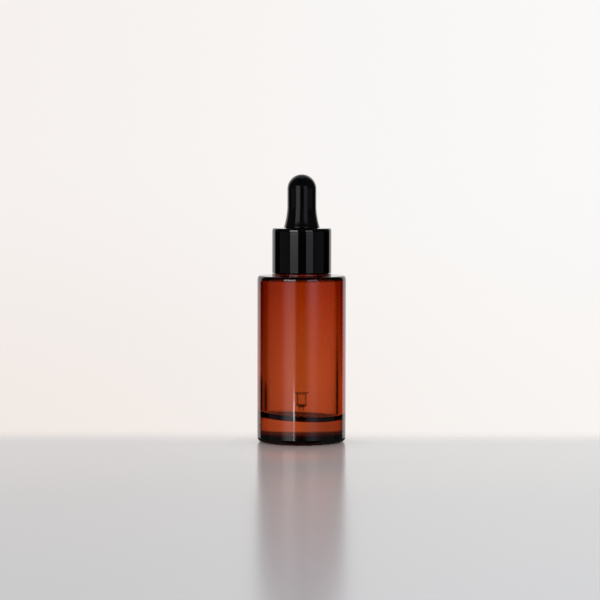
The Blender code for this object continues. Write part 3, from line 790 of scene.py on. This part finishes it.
def makePipette():
    p = pipette
    low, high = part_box("glass_pipette")
    tipZ, topZ = low.z, high.z
    taperZ = tipZ + p["noseLength"]
    stepZ = taperZ + p["taperLength"]
    stepTopZ = stepZ + p["stepLength"]
    tubeZ = stepTopZ + p["stepFall"]
    headZ = topZ - p["headLength"]
    stepR = p["tubeRadius"] - p["stepDraw"]
    boreR, stepBoreR = p["tubeRadius"] - p["wall"], stepR - p["tipWall"]
    outside = arc(p["tubeRadius"], topZ - p["bead"], p["bead"], 90, 0, p["beadSteps"])
    outside += fall(p["tubeRadius"] + p["bead"], headZ, p["tubeRadius"], headZ - 2 * p["bead"])
    outside += fall(p["tubeRadius"], tubeZ, stepR, stepTopZ)
    outside += fall(stepR, stepZ, p["tipRadius"], taperZ)
    outside += arc(p["tipRadius"] - p["noseEdge"], tipZ + p["noseEdge"], p["noseEdge"], 0, -90, p["noseSteps"])
    inside = [(p["tipBore"], tipZ)]
    inside += fall(p["tipBore"], taperZ + p["funnelRise"], stepBoreR, stepZ + p["funnelRise"])
    inside += fall(stepBoreR, stepTopZ, boreR, tubeZ)
    inside += [(boreR, topZ), (p["tubeRadius"], topZ)]
    piece = turn("glass_pipette_looks", held(outside + inside), p["sides"])
    for face in piece.data.polygons:
        face.material_index = 1 if face.center.z > tubeZ + p["tubeFrom"] else 0
    dress(piece, "dropper", "glass_pipette", "clear_glass", pipetteGlass("drawn borosilicate glass, tip"),
          pipetteGlass("drawn borosilicate glass, tube", p["tubeIor"]))


def pipetteGlass(name, inBottle=None):
    # drawn borosilicate tube, fire polished. The photograph shows no edge of the long tube above the step,
    # so behind the bottle's glass that stretch bends light far less than it does out in the air.
    material, tree, shader = newMaterial(name)
    clear = {"Roughness": 0.0, "IOR": pipette["ior"], "Transmission Weight": 1.0}
    fill(tree, shader, {"Base Color": srgb(pipette["glass"]), **clear})
    if inBottle:
        faint = addNode(tree, "BsdfGlass", {"Color": srgb(pipette["glass"]), "Roughness": 0.0, "IOR": inBottle})
        depth = addNode(tree, "LightPath").outputs["Transmission Depth"]
        behind = addNode(tree, "Math", (depth, pipette["behindDepth"]), operation="GREATER_THAN")
        either = addNode(tree, "MixShader", (behind, shader, faint))
        fill(tree, tree.nodes["Material Output"], {"Surface": either})
    return material


makePipette()


# Rubber bulb: satin moulded rubber

bulb = {
    "domeRadius": 5.45 * mm,
    "spread": 1.25 * mm,
    "skirtHeight": 8.4 * mm,
    "skirtCurve": 1.8,
    "lipThickness": 0.45 * mm,
    "lipEdge": 0.14 * mm,
    "lipGap": 0.14 * mm,      # between the lip and the collar's top
    "seatGap": 0.25 * mm,     # over the tube's head
    "waistInset": 0.9 * mm,
    "waistTop": 0.2 * mm,     # bevels at the two ends of the waist
    "waistFoot": 0.1 * mm,
    "flangeThickness": 1.0 * mm,
    "flangeEdge": 0.2 * mm,
    "wall": 1.5 * mm,
    "boreRadius": 2.95 * mm,
    "dark": "#020203",
    "light": "#050507",
    "grain": 0.12 * mm,       # of the eroded mould's texture
    "grainDepth": 0.004 * mm,
    "satin": (0.1, 0.15),     # roughness
    "sides": 128,
    "crownSteps": 28,
    "skirtSteps": 24,
    "hollowSteps": 14,
    "lipSteps": 6,
    "flangeSteps": 4,
}
noiseSpan = (0.3, 0.7)        # what a noise texture mostly gives


def makeBulb():
    b = bulb
    low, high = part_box("rubber_bulb")
    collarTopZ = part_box("collar_shell")[1].z
    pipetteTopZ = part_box("glass_pipette")[1].z
    domeZ = high.z - b["domeRadius"]
    lipR = b["domeRadius"] + b["spread"]
    lipZ = collarTopZ + b["lipGap"]
    waistR = lipR - b["waistInset"]
    flangeTopZ = low.z + b["flangeThickness"]
    crown = [(0.0, high.z)] + arc(0, domeZ, b["domeRadius"], 90, 0, b["crownSteps"])[1:]
    side = []
    for i in range(b["skirtSteps"] + 1):
        height = b["skirtHeight"] + (b["lipThickness"] - b["skirtHeight"]) * i / b["skirtSteps"]
        share = (b["skirtHeight"] - height) / (b["skirtHeight"] - b["lipThickness"])
        side.append((b["domeRadius"] + b["spread"] * share ** b["skirtCurve"], collarTopZ + height))
    lip = arc(lipR - b["lipEdge"], lipZ + b["lipEdge"], b["lipEdge"], 0, -90, b["lipSteps"])
    groove = [(waistR + b["waistTop"], lipZ), (waistR, lipZ - b["waistTop"]), (waistR, flangeTopZ + b["waistFoot"]),
              (waistR + b["waistFoot"], flangeTopZ)]
    e = b["flangeEdge"]
    flange = arc(high.x - e, flangeTopZ - e, e, 90, 0, b["flangeSteps"])
    flange += arc(high.x - e, low.z + e, e, 0, -90, b["flangeSteps"])
    hollowR = b["domeRadius"] - b["wall"]
    seatZ = pipetteTopZ + b["seatGap"]
    beadR = b["boreRadius"] + pipette["bead"]
    beadZ = pipetteTopZ - pipette["headLength"]
    hold = [(b["boreRadius"], low.z), (b["boreRadius"], beadZ - pipette["bead"]), (beadR, beadZ),
            (beadR, seatZ), (hollowR, seatZ + hollowR - beadR)]
    hollow = arc(0, domeZ, hollowR, 0, 90, b["hollowSteps"])[:-1] + [(0.0, high.z - b["wall"])]
    profile = held(crown + side + lip + groove + flange + hold + hollow)
    piece = turn("rubber_bulb_looks", profile, b["sides"])
    dress(piece, "dropper", "rubber_bulb", "black_rubber", bulbRubber())


def bulbRubber():
    # compression moulded nitrile rubber: satin black with a very fine eroded-mould texture
    b = bulb
    material, tree, shader = newMaterial("moulded nitrile rubber")
    place = addNode(tree, "TexCoord").outputs["Object"]
    fine = addNode(tree, "TexNoise", {"Vector": place, "Scale": 1 / b["grain"], "Detail": 2.0})
    shade = addNode(tree, "Mix", (fine, srgb(b["dark"]), srgb(b["light"])), **inColour)
    rough = addNode(tree, "MapRange", (fine, *noiseSpan, *b["satin"]), **smooth)
    bump = addNode(tree, "Bump", {"Height": fine, "Distance": b["grainDepth"], "Strength": 0.5})
    fill(tree, shader, {"Base Color": shade, "Roughness": rough, "Normal": bump})
    return material


makeBulb()


# Collar shell: gloss black moulded overshell

collar = {
    "wall": 0.8 * mm,
    "top": 0.6 * mm,
    "bevelWidth": 0.5 * mm,
    "bevelDepth": 1.3 * mm,
    "foot": 0.2 * mm,
    "edge": 0.1 * mm,
    "holeRadius": 5.85 * mm,
    "colour": "#030304",
    "sides": 192,
    "bevelSteps": 20,
    "footSteps": 4,
}


def makeCollar():
    c = collar
    low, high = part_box("collar_shell")
    outerR = high.x
    innerR = outerR - c["wall"]
    ceilingZ = high.z - c["top"]
    profile = [(c["holeRadius"], high.z - c["edge"]), (c["holeRadius"] + c["edge"], high.z)]
    profile += arc(outerR - c["bevelWidth"], high.z - c["bevelDepth"], c["bevelWidth"], 90, 0, c["bevelSteps"],
                   c["bevelDepth"])
    profile += arc(outerR - c["foot"], low.z + c["foot"], c["foot"], 0, -90, c["footSteps"])
    profile += [(innerR + c["edge"], low.z), (innerR, low.z + c["edge"]), (innerR, ceilingZ),
                (c["holeRadius"], ceilingZ), (c["holeRadius"], high.z - c["edge"])]
    piece = turn("collar_shell_looks", held(profile), c["sides"])
    dress(piece, "collar", "collar_shell", "gloss_black_plastic", glossBlack())


def glossBlack():
    # ABS moulded in a polished tool and clear coated: piano black
    material, tree, shader = newMaterial("clear coated moulded ABS")
    fill(tree, shader, {"Base Color": srgb(collar["colour"]), "Roughness": 0.3, "Specular IOR Level": 0.0,
                        "Coat Weight": 1.0, "Coat Roughness": 0.0, "Coat IOR": 1.5})
    return material


makeCollar()


# Inner cap: moulded black polypropylene with the screw thread

cap = {
    "boreRadius": 9.1 * mm,
    "top": 0.9 * mm,
    "leadIn": 0.4 * mm,
    "holeRadius": 5.85 * mm,
    "threadTop": 0.1 * mm,    # room over the thread
    "threadShift": 0.5,       # turns, which puts its ridges between the neck's
    "dark": "#0e0e0f",
    "light": "#161617",
    "flow": 2.5 * mm,         # length of a flow mark
    "sheen": (0.32, 0.42),    # roughness
    "sides": 160,
    "boreSteps": 40,
}
capThread = dict(neckThread, height=0.95 * mm, halfWidth=0.8 * mm, turns=2.2)


def makeCap():
    c = cap
    low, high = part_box("inner_cap")
    outerR = high.x
    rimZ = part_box("glass_bottle")[1].z
    ceilingZ = high.z - c["top"]
    outside = [(c["holeRadius"], high.z), (outerR - c["leadIn"], high.z), (outerR, high.z - c["leadIn"]),
               (outerR, low.z), (c["boreRadius"] + c["leadIn"], low.z), (c["boreRadius"], low.z + c["leadIn"])]
    bore = run(outside[-1], (c["boreRadius"], ceilingZ), c["boreSteps"])
    inside = [(c["boreRadius"], ceilingZ), (c["holeRadius"], ceilingZ), (c["holeRadius"], high.z)]
    piece = turn("inner_cap_looks", held(outside + bore + inside), c["sides"])
    threadStart = rimZ - neckThread["fromRim"] - neckThread["pitch"] * (neckThread["turns"] + c["threadShift"])

    def move(r, angle, z):
        onWall = abs(r - c["boreRadius"]) < neckThread["onWall"]
        if onWall and low.z + c["leadIn"] < z < ceilingZ - c["threadTop"]:
            return r - threadRise(angle, z, capThread, threadStart), z
        return r, z

    reshape(piece, move)
    dress(piece, "collar", "inner_cap", "black_polypropylene", capPlastic())


def capPlastic():
    # injection moulded polypropylene: black, a soft sheen, faint flow marks
    c = cap
    material, tree, shader = newMaterial("moulded polypropylene")
    place = addNode(tree, "TexCoord").outputs["Object"]
    flow = addNode(tree, "TexNoise", {"Vector": place, "Scale": 1 / c["flow"], "Detail": 3.0})
    shade = addNode(tree, "Mix", (flow, srgb(c["dark"]), srgb(c["light"])), **inColour)
    rough = addNode(tree, "MapRange", (flow, *noiseSpan, *c["sheen"]), **smooth)
    fill(tree, shader, {"Base Color": shade, "Roughness": rough})
    return material


makeCap()


# Wiper: natural polyethylene plug in the mouth

wiper = {
    "wall": 0.7 * mm,
    "flangeThickness": 0.5 * mm,
    "flangeFoot": 0.45 * mm,
    "sleeveRadius": 5.5 * mm,
    "lipRadius": 3.1 * mm,
    "lipHeight": 1.6 * mm,
    "lipThickness": 0.6 * mm,
    "edge": 0.12 * mm,
    "colour": "#e4e4df",
    "depth": 0.8 * mm,        # how far light goes into it
    "sides": 96,
    "mouthSteps": 8,
    "edgeSteps": 3,
}


def makeWiper():
    w = wiper
    low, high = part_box("neck_wiper")
    innerR = w["sleeveRadius"] - w["wall"]
    flangeZ = high.z - w["flangeThickness"]
    lipZ = low.z + w["lipHeight"]
    e = w["edge"]
    mouth = arc(innerR + w["wall"], high.z - w["wall"], w["wall"], 180, 90, w["mouthSteps"])
    profile = mouth + arc(high.x - e, high.z - e, e, 90, 0, w["edgeSteps"])
    profile += arc(high.x - e, flangeZ + e, e, 0, -90, w["edgeSteps"])
    profile += [(w["sleeveRadius"] + w["flangeFoot"], flangeZ), (w["sleeveRadius"], flangeZ - w["flangeFoot"]),
                (w["sleeveRadius"], lipZ), (w["lipRadius"] + w["lipThickness"], low.z), (w["lipRadius"], low.z),
                (w["lipRadius"], low.z + w["lipThickness"]), (innerR, lipZ + w["lipThickness"]), mouth[0]]
    piece = turn("neck_wiper_looks", held(profile), w["sides"])
    dress(piece, "bottle", "neck_wiper", "natural_polyethylene", wiperPlastic())


def wiperPlastic():
    # moulded low-density polyethylene: waxy, milky, lets some light through
    material, tree, shader = newMaterial("moulded natural polyethylene")
    fill(tree, shader, {"Base Color": srgb(wiper["colour"]), "Roughness": 0.42, "Subsurface Weight": 0.4,
                        "Subsurface Scale": wiper["depth"]})
    return material


makeWiper()


bpy.context.scene.view_settings.view_transform = "Standard"
print("scene ready")
